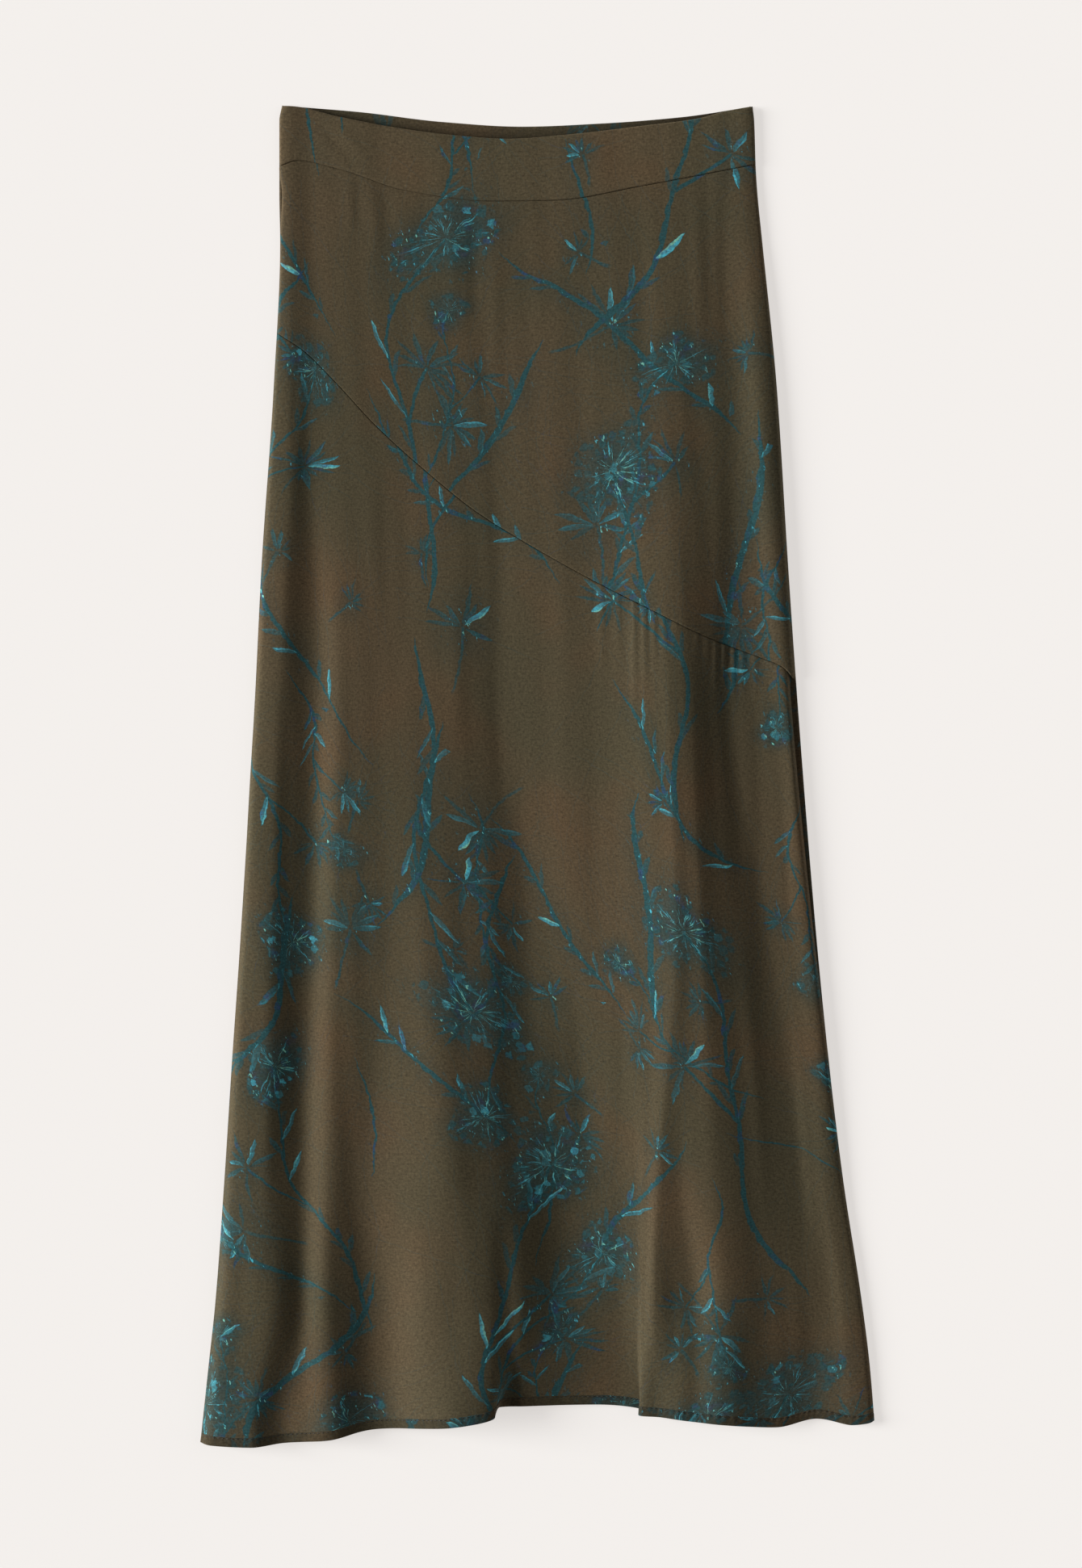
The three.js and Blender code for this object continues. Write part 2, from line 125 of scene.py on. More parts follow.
FOLDS = [Fold(name, hem_y, x, z) for (name, hem_y, *x), z in zip(FOLD_LINES, FOLD_HEIGHTS)]
LEFT_CORNER_Y = -495.6
RIGHT_CORNER_Y = -479.4
SHOULDER_ALONG = 0.2  # where a side rolls down to the back, as a share of the way to the next fold
SHOULDER_UP = 0.72  # and of its height there

# Seams and waist edges, as (x, y)
BACK_TOP = [(-190, 497.4), (-132, 492.6), (-72, 485.4), (-12, 481.8), (48, 484.2), (108, 489), (159.6, 496.8)]
FRONT_TOP = [
    (-190, 497), (-181, 496.6), (-148, 489), (-104, 480.6), (-63, 475.2), (-21.6, 472.5),
    (18, 475.2), (75.6, 481.8), (117, 487.2), (143.4, 493.8), (159.6, 496.6),
]
BAND_SEAM = [
    (-192, 451.8), (-178, 456), (-145.8, 449.4), (-97.2, 433.8), (-35.4, 426), (13.8, 426.6),
    (75.6, 436.8), (137.4, 448.5), (162, 453.3),
]
SLANT_SEAM = [
    (-194, 328), (-174.6, 315.6), (-151.2, 292.8), (-119.4, 258.6), (-81.6, 224.4), (-47.4, 196.8),
    (-15.6, 176.4), (29.4, 150.6), (84.6, 121.8), (129.6, 100.2), (167, 86.4), (181, 80.4),
    (192.6, 69.6),
]
BACK_HEM = [
    (-250.6, -494), (-188, -489), (-110, -477), (-32, -464.5), (78, -464.5), (150, -474),
    (200, -474), (250.6, -478),
]

# The gathers eased into the slanting seam. Columns: x at the seam, width, height, length.
GATHERS = [
    (39, 7, 0.3, 30),
    (47.5, 9, 0.9, 95),
    (54.5, 5, 0.5, 34),
    (60, 6, 1.1, 62),
    (65.5, 4.5, 0.8, 40),
    (71.5, 7, 1.5, 110),
    (79, 6.5, 1.4, 84),
    (86, 6, 1.0, 58),
    (93, 7, 0.5, 36),
    (102, 8, 0.3, 20),
    (118, 7, 0.4, 26),
    (125.5, 6, 0.7, 34),
    (131.5, 5, 0.9, 50),
    (138, 6.5, 1.2, 40),
    (145, 6, 1.0, 58),
    (152, 7, 0.8, 32),
    (161, 8, 0.6, 44),
    (171, 7, 0.3, 20),
]

# Small creases pressed into the front by handling. Columns: start x and y, end x and y, how far the line bows
# to its left, width, and height, which is below zero for a trough.
CREASES = [
    (-164, 482, -134, 450, 2, 11, -0.55),
    (-156, 486, -128, 458, 2, 9, 0.4),
    (-141, 449, -139, 398, 1, 9, 0.45),
    (-132, 445, -131, 404, -1, 8, -0.4),
    (-123, 441, -120, 380, 1, 10, 0.5),
    (-112, 437, -111, 396, 0, 9, -0.35),
    (-102, 433, -99, 372, 1, 12, 0.4),
    (-84, 429, -86, 340, -2, 15, -0.35),
    (-66, 427, -64, 330, 2, 16, 0.4),
    (-48, 424, -51, 300, 2, 17, -0.35),
    (-28, 424, -30, 262, -2, 18, 0.4),
    (-8, 424, -6, 300, 1, 16, -0.3),
    (16, 424, 12, 250, 2, 20, 0.35),
    (38, 428, 35, 220, -2, 18, -0.4),
    (56, 431, 58, 300, 1, 14, 0.35),
    (78, 434, 74, 250, 2, 16, -0.35),
    (118, 442, 120, 330, 0, 16, 0.3),
    (138, 446, 141, 300, -1, 15, -0.35),
    (-176, 306, -179, 210, 1, 12, 0.4),
    (-120, 246, -118, 120, -2, 20, 0.5),
    (-98, 232, -101, 60, 2, 20, -0.45),
    (-60, 196, -62, 20, 2, 22, 0.5),
    (-20, 166, -14, -40, -3, 24, 0.5),
    (4, 150, 8, -30, 2, 20, -0.45),
    (30, 130, 36, -60, 2, 22, 0.4),
    (128, 92, 136, -50, -2, 16, -0.5),
    (152, 84, 158, -90, 2, 18, 0.5),
    (180, 60, 186, -110, 1, 14, -0.4),
    (-186, 60, -190, -160, 1, 16, -0.4),
    (-130, 10, -136, -170, -2, 18, 0.5),
    (-60, -40, -52, -220, 2, 20, -0.5),
    (18, -120, 26, -330, 2, 18, 0.5),
    (64, -150, 62, -350, -2, 16, -0.4),
    (150, -120, 166, -330, 2, 18, 0.45),
    (186, -160, 200, -360, 0, 14, -0.4),
    (-218, -330, -226, -470, 1, 14, -0.4),
    (-140, -330, -138, -460, 1, 14, 0.4),
    (-96, -300, -92, -470, -2, 15, -0.45),
    (22, -390, 18, -462, 1, 14, 0.4),
    (100, -350, 102, -466, 0, 12, -0.4),
    (190, -360, 192, -470, 1, 16, 0.4),
]
# Broad, low swells and hollows between the folds, in the same columns
SWELLS = [
    (12, -300, 22, -425, 0, 80, -4.2),
    (26, -180, 24, -400, 0, 76, -2.4),
    (-24, -390, -20, -600, 0, 124, 6),
    (-14, -40, -8, -300, 0, 56, -2.2),
    (-25, -320, -21, -560, 0, 24, -3),
    (-180, -270, -189, -540, 0, 40, 5),
    (-70, -300, -67, -472, 0, 60, -3.4),
    (-104, -330, -106, -560, 0, 34, -1.6),
    (60, -320, 61, -560, 0, 26, -0.6),
    (90, -420, 91, -560, 0, 34, -3),
    (112, -390, 116, -560, 0, 56, 6),
    (136, -400, 140, -560, 0, 50, 2.5),
    (40, 300, 56, -160, 0, 70, -2.2),
    (146, 330, 176, -160, 0, 34, -1),
    (160, 396, 222, -324, -3, 30, 2.6),
]
CREASE_TAPER = 0.7  # how early a crease narrows towards its ends: less is blunter
STIFFER = 0.8  # share of a crease's height on the waistband
# Slow, shallow waves that keep the cloth from lying dead smooth. Columns: waves across the skirt, waves down
# it, turn, height.
WAVES = [(9, 1.5, 0.4, 0.14), (17, 2.5, 2.1, 0.1), (29, 4, 4.4, 0.06)]
WAVE_SWAY = 1.3  # how far a wave sways from side to side, as a turn
WAVE_BEND = 90  # how soon it sways back
SKIRT_WIDTH = 502
SKIRT_LENGTH = 995

# How finely the pieces are divided: rows down each one between those near its edges, columns between
# neighbouring fold lines, closer where the gathers lie, and columns of the back
ROWS = {"waistband": 18, "upper": 100, "lower": 210, "back_band": 18, "back": 150, "back_hem": 8}
COLUMNS = {"waistband": 9, "upper": 9, "lower": 8, "hem": 26, "back_band": 120, "back": 120, "back_hem": 360}
GATHER_COLUMNS = {"right_foot": 16, "right_side": 20, "right_slope": 10, "right_furrow": 16}
SIDE_CROWDING = 1.6  # how far the front's columns crowd towards the sides
BACK_CROWDING = 0.08  # the same for the back's
MEETING_TURNS = 12  # rounds in which a column's crossing with a seam is found

# Distances from a seam and from a folded edge at which a piece has rows, and where a front panel's last rows
# lie under its hem
NEAR_SEAM = (0, 0.12, 0.4, 0.8, 1.3, 2.4, 4.2)
NEAR_FOLD = (0, 0.06, 0.2, 0.45, 0.8, 1.6, 3.2)
UNDER_HEM = (5.6, 6, 6.6, 7.2, 8.2, 9.6)
HEM_ROWS = (7.4, 7.1, 6.7, 6.2, 5.6, 4.8, 3.8, 2.6, 1.5, 0.8, 0.4, 0.15, 0)
STITCH_ROW = 6.2  # the one of these that the stitching follows
MIDDLE_LINE = 9  # the place across the front, at the middle valley, from which the flat cloth is measured


def through(knots, values, at):
    """A smooth curve through values at rising knots, which never overshoots them. A value may be a grid."""
    knots = np.asarray(knots, float)
    values = np.asarray(values, float)
    at = np.clip(at, knots[0], knots[-1])
    steps = np.diff(knots)
    rates = np.diff(values, axis=0) / steps.reshape((-1,) + (1,) * (values.ndim - 1))
    before, after = rates[:-1], rates[1:]
    same_way = before * after > 0
    total = np.where(same_way, before + after, 1)
    inner = np.where(same_way, 2 * before * after / total, 0)
    slopes = np.concatenate([rates[:1], inner, rates[-1:]])
    k = np.clip(np.searchsorted(knots, at, side="right") - 1, 0, len(knots) - 2)

    def pick(table, index):
        return table[index] if table.ndim == 1 else np.take_along_axis(table, index[None], 0)[0]

    step = steps[k]
    u = (at - knots[k]) / step
    rest = 1 - u
    return (
        pick(values, k) * (1 + 2 * u) * rest**2
        + pick(values, k + 1) * u**2 * (3 - 2 * u)
        + step * (pick(slopes, k) * u * rest**2 - pick(slopes, k + 1) * u**2 * rest)
    )


def line(rows, knot=0, value=1):
    """One column of a table over another, as a function."""
    ordered = sorted(rows)
    return lambda at: through([row[knot] for row in ordered], [row[value] for row in ordered], at)


back_top = line(BACK_TOP)
front_top = line(FRONT_TOP)
band_seam = line(BAND_SEAM)
slant_seam = line(SLANT_SEAM)
back_hem = line(BACK_HEM)
left_edge, right_edge, roll_left, roll_right = (line(SIDES, 0, column) for column in (1, 2, 3, 4))

# A front piece's place over the folds: rise above the table's heights, height of its outer edge, and which
# of its edges is rolled in
Panel = namedtuple("Panel", "rise lip left_in right_in")
BAND_PANEL = Panel(BAND_RISE, LIP["band"], 0, 0)
UPPER_PANEL = Panel(0, LIP["panel"], 1, 0)
LOWER_PANEL = Panel(0, LIP["panel"], 0, 1)

POINTS = len(FOLDS) + 4
HEM_YS = [
    LEFT_CORNER_Y,
    (LEFT_CORNER_Y + FOLDS[0].hem_y) / 2,
    *[fold.hem_y for fold in FOLDS],
    (RIGHT_CORNER_Y + FOLDS[-1].hem_y) / 2,
    RIGHT_CORNER_Y,
]


def section(y, panel):
    """The x and z of the section's control points at y, from side to side."""
    low_first = STATIONS[::-1]
    xs = [through(low_first, fold.x[::-1], y) for fold in FOLDS]
    zs = [through(low_first, fold.z[::-1], y) + panel.rise for fold in FOLDS]
    left = left_edge(y) + roll_left(y) * panel.left_in
    right = right_edge(y) - roll_right(y) * panel.right_in
    lip = np.full_like(left, panel.lip)

    def shoulder(edge, x, z):
        return edge + (x - edge) * SHOULDER_ALONG, lip + (z - lip) * SHOULDER_UP

    first_x, first_z = shoulder(left, xs[0], zs[0])
    last_x, last_z = shoulder(right, xs[-1], zs[-1])
    return np.array([left, first_x, *xs, last_x, right]), np.array([lip, first_z, *zs, last_z, lip])


def surface(s, y, panel):
    """The x and z of the front's face at place s across it, which is 0 at the left side, and at y."""
    s, y = np.broadcast_arrays(np.asarray(s, float), np.asarray(y, float))
    xs, zs = section(y, panel)
    return through(np.arange(POINTS), xs, s), through(np.arange(POINTS), zs, s)


def meets(s, seam, panel):
    """The y at which column s meets a seam."""
    y = np.zeros_like(s)
    for _ in range(MEETING_TURNS):
        y = seam(surface(s, y, panel)[0])
    return y


def hem_y(s):
    return through(np.arange(POINTS), HEM_YS, s)


def places(count, closer=()):
    """Places across the front at which a piece has a column, closer together at the sides and where asked."""
    counts = dict(closer)
    found = [0.0]
    for i in range(POINTS - 1):
        n = counts.get(FOLDS[i - 2].name if 2 <= i < len(FOLDS) + 2 else "", count)
        shares = np.arange(1, n + 1) / n
        if i == 0:
            shares = shares**SIDE_CROWDING
        if i == POINTS - 2:
            shares = 1 - (1 - shares) ** SIDE_CROWDING
        found += list(i + shares)
    return np.array(found)


def rows_down(top, low, near_top, near_low, count):
    """The y of each row down a piece: rows at set distances from both ends, and even ones between."""
    first = [top - d for d in near_top]
    last = [low + d for d in reversed(near_low)]
    between = [first[-1] + (last[0] - first[-1]) * k / count for k in range(1, count)]
    return np.array(first + between + last)


def gathered(x, y):
    """How far the gathers lift the lower panel."""
    below = slant_seam(x) - y
    total = np.zeros_like(x)
    for at, width, rise, length in GATHERS:
        across = np.abs(x - at) / (width / 2)
        fade = np.clip(1 - below / length, 0, 1)
        total += np.where(across < 1, rise * np.cos(across * math.pi / 2) ** 2 * fade**2 * (3 - 2 * fade), 0)
    return total


def pressed(rows, x, y):
    """The height of a table of creases or swells."""
    total = np.zeros_like(x)
    for x0, y0, x1, y1, bow, width, rise in rows:
        length = math.hypot(x1 - x0, y1 - y0)
        ax, ay = (x1 - x0) / length, (y1 - y0) / length
        along = ((x - x0) * ax + (y - y0) * ay) / length
        t = np.clip(along, 0, 1)
        off = (x - x0) * -ay + (y - y0) * ax - 4 * bow * t * (1 - t)
        across = np.clip(np.abs(off) / (width / 2), 0, 1)
        ends = np.sin(math.pi * t) ** CREASE_TAPER
        total += np.where((along > 0) & (along < 1), rise * np.cos(across * math.pi / 2) ** 2 * ends, 0)
    return total


def creased(x, y):
    """The small creases and slow waves of the front."""
    total = pressed(CREASES, x, y)
    for across, down, turn, rise in WAVES:
        phase = 2 * math.pi * (across * x / SKIRT_WIDTH + down * y / SKIRT_LENGTH) + turn
        total += rise * np.sin(phase + WAVE_SWAY * np.sin(y / WAVE_BEND + turn))
    return total


def bulge(distance, radius):
    """0 at an edge, rising on a quarter circle to 1 at radius from it."""
    return np.sqrt(1 - (1 - np.clip(distance / radius, 0, 1)) ** 2)


def arc(points, axis):
    """Length along a grid of points from its start, in one direction of the grid."""
    steps = np.linalg.norm(np.diff(points, axis=axis), axis=2)
    zero = np.zeros_like(np.take(steps, [0], axis=axis))
    return np.concatenate([zero, np.cumsum(steps, axis=axis)], axis=axis)


def face_normals(points):
    """Normals of a grid of points across the skirt, without their part along Y."""
    normals = np.cross(np.gradient(points, axis=0), np.gradient(points, axis=1))
    normals[..., 1] = 0
    return normals / np.linalg.norm(normals, axis=2, keepdims=True)


def edge_distance(points):
    """Distance of each point of a grid from the grid's nearest edge."""
    down = arc(points, 0)
    across = arc(points, 1)
    return np.minimum(np.minimum(down, down[-1:] - down), np.minimum(across, across[:, -1:] - across))


def shell(name, points, lift, thickness, foot, uv, face, inside):
    """A closed sheet under a grid of points, with rounded edges. Lift moves both its sides out."""
    rows, columns = points.shape[:2]
    normals = face_normals(points)
    half = thickness / 2
    full = bulge(edge_distance(points), half)[..., None]
    middle = points + normals * (lift[..., None] - half)
    outer = middle + normals * half * full
    inner = middle - normals * half * full
    inner[..., 2] = np.maximum(inner[..., 2], foot)
    count = rows * columns
    upper = np.arange(count).reshape(rows, columns)
    lower = upper + count
    for edge in ((0, slice(None)), (-1, slice(None)), (slice(None), 0), (slice(None), -1)):
        lower[edge] = upper[edge]
    top = np.stack([upper[:-1, :-1], upper[1:, :-1], upper[1:, 1:], upper[:-1, 1:]], axis=2).reshape(-1, 4)
    bottom = np.stack([lower[:-1, :-1], lower[:-1, 1:], lower[1:, 1:], lower[1:, :-1]], axis=2).reshape(-1, 4)
    corners = np.concatenate([outer.reshape(-1, 3), inner.reshape(-1, 3)])
    flat = np.concatenate([uv.reshape(-1, 2), uv.reshape(-1, 2)])
    slots = np.repeat([0, 1], [len(top), len(bottom)])
    return make_mesh(name, corners, np.concatenate([top, bottom]), flat, slots, [face, inside])


def placed(name, data):
    """A new object in the scene."""
    holder = bpy.data.objects.new(name, data)
    bpy.context.scene.collection.objects.link(holder)
    return holder


def make_mesh(name, corners, quads, flat, slots, materials):
    """A smooth mesh of quads from corners and flat pattern places in millimetres, without unused corners."""
    used, quads = np.unique(quads, return_inverse=True)
    quads = quads.reshape(-1, 4)
    mesh = bpy.data.meshes.new(name)
    mesh.vertices.add(len(used))
    mesh.vertices.foreach_set("co", (corners[used] * MM).astype(np.float32).ravel())
    mesh.loops.add(quads.size)
    mesh.loops.foreach_set("vertex_index", quads.ravel().astype(np.int32))
    mesh.polygons.add(len(quads))
    mesh.polygons.foreach_set("loop_start", np.arange(0, quads.size, 4, dtype=np.int32))
    mesh.polygons.foreach_set("material_index", slots.astype(np.int32))
    for material in materials:
        mesh.materials.append(material)
    layer = mesh.uv_layers.new(name="Pattern")
    layer.data.foreach_set("uv", (flat[used][quads.ravel()] * MM).astype(np.float32).ravel())
    mesh.update(calc_edges=True)
    mesh.validate()
    mesh.shade_smooth()
    return placed(name, mesh)


def flat_places(points, s):
    """Where each point of a grid lies on the flat cloth: x from the middle line, and y down from the top."""
    middle = int(np.argmin(np.abs(s - MIDDLE_LINE)))
    across = arc(points, 1)
    across = across - across[:, middle : middle + 1] + points[0, middle, 0]
    down = points[:1, :, 1] - arc(points, 0)
    return np.stack([across, down], axis=2)


def front_points(s, ys, panel):
    x, z = surface(s[None, :], ys, panel)
    return np.stack([x, ys, z + pressed(SWELLS, x, ys)], axis=2)


def rolled_at(distance):
    """How far the cloth drops as it rolls into a seam at this distance."""
    return SEAM_DROP * (1 - bulge(distance, SEAM_ROLL))


def waistband_front(face, inside):
    s = places(COLUMNS["waistband"])
    top = meets(s, front_top, BAND_PANEL)
    low = meets(s, band_seam, BAND_PANEL) + SEAM_GAP / 2
    ys = rows_down(top, low, NEAR_FOLD, NEAR_SEAM, ROWS["waistband"])
    points = front_points(s, ys, BAND_PANEL)
    lift = creased(points[..., 0], ys) * STIFFER
    lift -= rolled_at(ys - low) * ROLL_SHARE["waistband"]
    lift -= rolled_at(top - ys) * ROLL_SHARE["waist_edge"]
    uv = flat_places(points, s)
    return shell("waistband_front_cloth", points, lift, BAND, BAND_FOOT, uv, face, inside)


def front_upper(face, inside):
    s = places(COLUMNS["upper"])
    top = meets(s, band_seam, UPPER_PANEL) - SEAM_GAP / 2
    low = meets(s, slant_seam, UPPER_PANEL) + SEAM_GAP / 2
    ys = rows_down(top, low, NEAR_SEAM, NEAR_SEAM, ROWS["upper"])
    points = front_points(s, ys, UPPER_PANEL)
    lift = creased(points[..., 0], ys) - rolled_at(ys - low)
    lift -= rolled_at(top - ys) * ROLL_SHARE["under_waistband"]
    uv = flat_places(points, s)
    return shell("front_upper_cloth", points, lift, CLOTH, FRONT_FOOT, uv, face, inside)


def front_lower(face, inside):
    s = places(COLUMNS["lower"], GATHER_COLUMNS)
    top = meets(s, slant_seam, LOWER_PANEL) - SEAM_GAP / 2
    ys = rows_down(top, hem_y(s), NEAR_SEAM, UNDER_HEM, ROWS["lower"])
    points = front_points(s, ys, LOWER_PANEL)
    x = points[..., 0]
    lift = creased(x, ys) + gathered(x, ys) - rolled_at(top - ys)
    uv = flat_places(points, s)
    return shell("front_lower_cloth", points, lift, CLOTH, FRONT_FOOT, uv, face, inside), s, uv[-1]


# The small puckers along the hem's stitching, the groove that it draws, and the width of the hem's round edge
PUCKER = {"height": 0.26, "length": 5.2, "reach": 2.6}
GROOVE = {"depth": 0.25, "width": 0.55}
HEM_ROUND = 1.6
STITCH_LINE = HEM_DEPTH - 1


def pucker(u, distance):
    """Small puckers beside the hem's stitching, uneven along it."""
    uneven = 0.6 + 0.4 * np.sin(u / 23 + 2 * np.sin(u / 61))
    wave = np.sin(2 * math.pi * (u / PUCKER["length"] + 0.7 * np.sin(u / 17)))
    near = np.exp(-(((distance - STITCH_LINE) / PUCKER["reach"]) ** 2))
    return PUCKER["height"] * uneven * wave * near


def front_hem(face, inside, panel_places, panel_uv):
    s = places(COLUMNS["hem"])
    distance = np.array(HEM_ROWS)[:, None]
    ys = hem_y(s)[None, :] + distance
    points = front_points(s, ys, LOWER_PANEL)
    uv = flat_places(points, s)
    above = np.interp(s, panel_places, panel_uv[:, 1]) + UNDER_HEM[0] - HEM_ROWS[0]
    uv[..., 1] = above[None, :] + ys - ys[:1]
    groove = GROOVE["depth"] * np.exp(-(((distance - STITCH_LINE) / GROOVE["width"]) ** 2))
    rise = HEM_RISE * bulge(HEM_ROWS[0] - distance, HEM_ROUND) - groove
    lift = creased(points[..., 0], ys) + rise + pucker(uv[..., 0], distance)
    hem = shell("front_hem", points, lift, HEM, HEM_FOOT, uv, face, inside)
    return hem, points + face_normals(points) * lift[..., None]


def back_x(y, share):
    """The x at this share of the way across the back."""
    return left_edge(y) + (right_edge(y) - left_edge(y)) * share


def back_meets(share, edge):
    """The y at which each share of the way across the back meets a line given as y over x."""
    y = np.zeros_like(share)
    for _ in range(MEETING_TURNS):
        y = edge(back_x(y, share))
    return y


def back_grid(top, low, near_top, near_low, size):
    """A grid over the back between two lines given as y over x. Its places across run with the sides."""
    share = np.linspace(0, 1, COLUMNS[size])
    share = share - BACK_CROWDING * np.sin(2 * math.pi * share)
    ys = rows_down(back_meets(share, top), back_meets(share, low), near_top, near_low, ROWS[size])
    return np.stack([back_x(ys, share), ys, np.zeros_like(ys)], axis=2)


def turned_up(points, height):
    """How far the back's sides turn up to meet the front."""
    across = arc(points, 1)
    from_side = np.minimum(across, across[:, -1:] - across)
    return height * (1 - np.clip(from_side / TURN_UP_WIDTH, 0, 1)) ** 2


def back_piece(name, points, thickness, height, face, inside):
    lift = turned_up(points, height)
    uv = points[..., :2] * [-1, 1]
    return shell(name, points + [0, 0, thickness], lift, thickness, 0, uv, inside, face)


def waistband_back(face, inside):
    points = back_grid(back_top, lambda x: band_seam(x) + SEAM_GAP / 2, NEAR_FOLD, NEAR_SEAM, "back_band")
    return back_piece("waistband_back_cloth", points, BACK_BAND, TURN_UP["band"], face, inside)


def back_panel(face, inside):
    points = back_grid(lambda x: band_seam(x) - SEAM_GAP / 2, back_hem, NEAR_SEAM, UNDER_HEM, "back")
    return back_piece("back_panel_cloth", points, CLOTH, TURN_UP["panel"], face, inside)


def back_hem_band(face, inside):
    points = back_grid(lambda x: back_hem(x) + HEM_ROWS[0], back_hem, NEAR_FOLD, NEAR_FOLD, "back_hem")
    return back_piece("back_hem", points, BACK_HEM_BAND, TURN_UP["hem"], face, inside)


STITCH = {"length": 3.0, "pitch": 3.5, "radius": 0.4, "tip": 0.25, "dip": 0.22, "sides": 6, "rings": 5}


def stitches(name, path, thread):
    """A row of stitches along a path, each a thin bead that dips into the cloth at both ends."""
    steps = np.linalg.norm(np.diff(path, axis=0), axis=1)
    run = np.concatenate([[0], np.cumsum(steps)])
    starts = np.arange(1, run[-1] - STITCH["pitch"], STITCH["pitch"])
    rings, sides = STITCH["rings"], STITCH["sides"]
    t = np.linspace(0, 1, rings)
    turn = np.linspace(0, 2 * math.pi, sides, endpoint=False)
    full = np.sin(math.pi * t)
    radius = STITCH["radius"] * (STITCH["tip"] + (1 - STITCH["tip"]) * full)
    dip = STITCH["dip"] * (1 - full)
    corners, quads = [], []
    for start in starts:
        along = start + t * STITCH["length"]
        centres = np.stack([np.interp(along, run, path[:, k]) for k in range(3)], axis=1)
        heading = centres[-1] - centres[0]
        heading /= np.linalg.norm(heading)
        sideways = np.cross([0, 0, 1.0], heading)
        sideways /= np.linalg.norm(sideways)
        up = np.cross(heading, sideways)
        ring = np.cos(turn)[:, None] * sideways + np.sin(turn)[:, None] * up
        bead = centres[:, None] + radius[:, None, None] * ring - dip[:, None, None] * up
        ids = np.arange(rings * sides).reshape(rings, sides) + len(corners) * rings * sides
        corners.append(bead.reshape(-1, 3))
        after = np.roll(ids, -1, axis=1)
        quads.append(np.stack([ids[:-1], after[:-1], after[1:], ids[1:]], axis=2).reshape(-1, 4))
    corners, quads = np.concatenate(corners), np.concatenate(quads)
    return make_mesh(name, corners, quads, corners[:, :2], np.zeros(len(quads)), [thread])


# Materials


def plug(socket, value):
    if isinstance(value, Wire):
        socket.id_data.links.new(value.socket, socket)
    else:
        socket.default_value = value


def new_node(kind, inputs, **settings):
    """A shader node with these settings, in the tree of the wires that run into its inputs."""
    tree = next(value.socket.id_data for value in inputs.values() if isinstance(value, Wire))
    node = tree.nodes.new("ShaderNode" + kind)
    for key, value in settings.items():
        setattr(node, key, value)
    for key, value in inputs.items():
        plug(node.inputs[key], value)
    return node


def maths(kind, *values, clamp=False):
    """A Math node of this kind over wires and plain numbers."""
    node = new_node("Math", dict(enumerate(values)), operation=kind, use_clamp=clamp)
    return Wire(node.outputs[0])


def operator(kind, swapped=False):
    """A wire's operator, as a Math node of this kind."""

    def made(self, *other):
        return maths(kind, *other, self) if swapped else maths(kind, self, *other)

    return made


class Wire:
    """A number in a node tree, which comes out of a socket. Sums of wires become Math nodes."""

    def __init__(self, socket):
        self.socket = socket

    __add__ = __radd__ = operator("ADD")
    __sub__ = operator("SUBTRACT")
    __rsub__ = operator("SUBTRACT", swapped=True)
    __mul__ = __rmul__ = operator("MULTIPLY")
    __truediv__ = operator("DIVIDE")
    __pow__ = operator("POWER")
    __gt__ = operator("GREATER_THAN")
    __lt__ = operator("LESS_THAN")
    __abs__ = operator("ABSOLUTE")


def clamped(value):
    return maths("ADD", value, 0, clamp=True)


def most(first, *others):
    """The highest of several wires."""
    for other in others:
        first = maths("MAXIMUM", first, other)
    return first


def soft(inside, blur=0.5):
    """1 where inside is above zero and 0 below it, with a soft edge this wide."""
    return maths("MULTIPLY_ADD", inside, 1 / blur, 0.5, clamp=True)


def vector(x, y, z=0.0):
    return Wire(new_node("CombineXYZ", {0: x, 1: y, 2: z}).outputs[0])


def noise(place, scale, detail=2.0, roughness=0.5):
    """Smooth noise from 0 to 1, with scale in patches for each millimetre."""
    inputs = {"Vector": place, "Scale": scale, "Detail": detail, "Roughness": roughness}
    return Wire(new_node("TexNoise", inputs).outputs[0])


def dice(value, seed):
    """A random number from 0 to 1 for each whole number."""
    node = new_node("TexWhiteNoise", {"W": value + seed * 13.7 + 0.37}, noise_dimensions="1D")
    return Wire(node.outputs["Value"])


def mixed(factor, a, b, blend="MIX"):
    """Colour a turned towards colour b by factor."""
    node = new_node("Mix", {"Factor": factor, 6: a, 7: b}, data_type="RGBA", blend_type=blend)
    return Wire(node.outputs[2])


def colour(red, green, blue):
    """A screen colour from 0 to 255 as Blender's linear one."""
    shares = [c / 255 for c in (red, green, blue)]
    return (*[s / 12.92 if s <= 0.04045 else ((s + 0.055) / 1.055) ** 2.4 for s in shares], 1.0)


def ramp(value, stops):
    """A colour ramp over (place, colour) stops."""
    node = new_node("ValToRGB", {"Fac": value})
    elements = node.color_ramp.elements
    while len(elements) < len(stops):
        elements.new(0.5)
    for element, (place, shade) in zip(elements, stops):
        element.position = place
        element.color = shade
    return Wire(node.outputs["Color"])


def node_group(name, inputs, outputs, build):
    """A node group. Build gets a wire for each input and returns one for each output, which has a kind."""
    tree = bpy.data.node_groups.new(name, "ShaderNodeTree")
    for key in inputs:
        tree.interface.new_socket(key, in_out="INPUT", socket_type="NodeSocketFloat")
    for key, kind in outputs.items():
        tree.interface.new_socket(key, in_out="OUTPUT", socket_type="NodeSocket" + kind)
    start = tree.nodes.new("NodeGroupInput")
    end = tree.nodes.new("NodeGroupOutput")
    made = build(*[Wire(start.outputs[key]) for key in inputs])
    for key, wire in zip(outputs, made):
        plug(end.inputs[key], wire)
    return tree


def grouped(group, *values):
    """The outputs of a node group that is used with these inputs."""
    node = new_node("Group", dict(enumerate(values)), node_tree=group)
    return [Wire(socket) for socket in node.outputs]


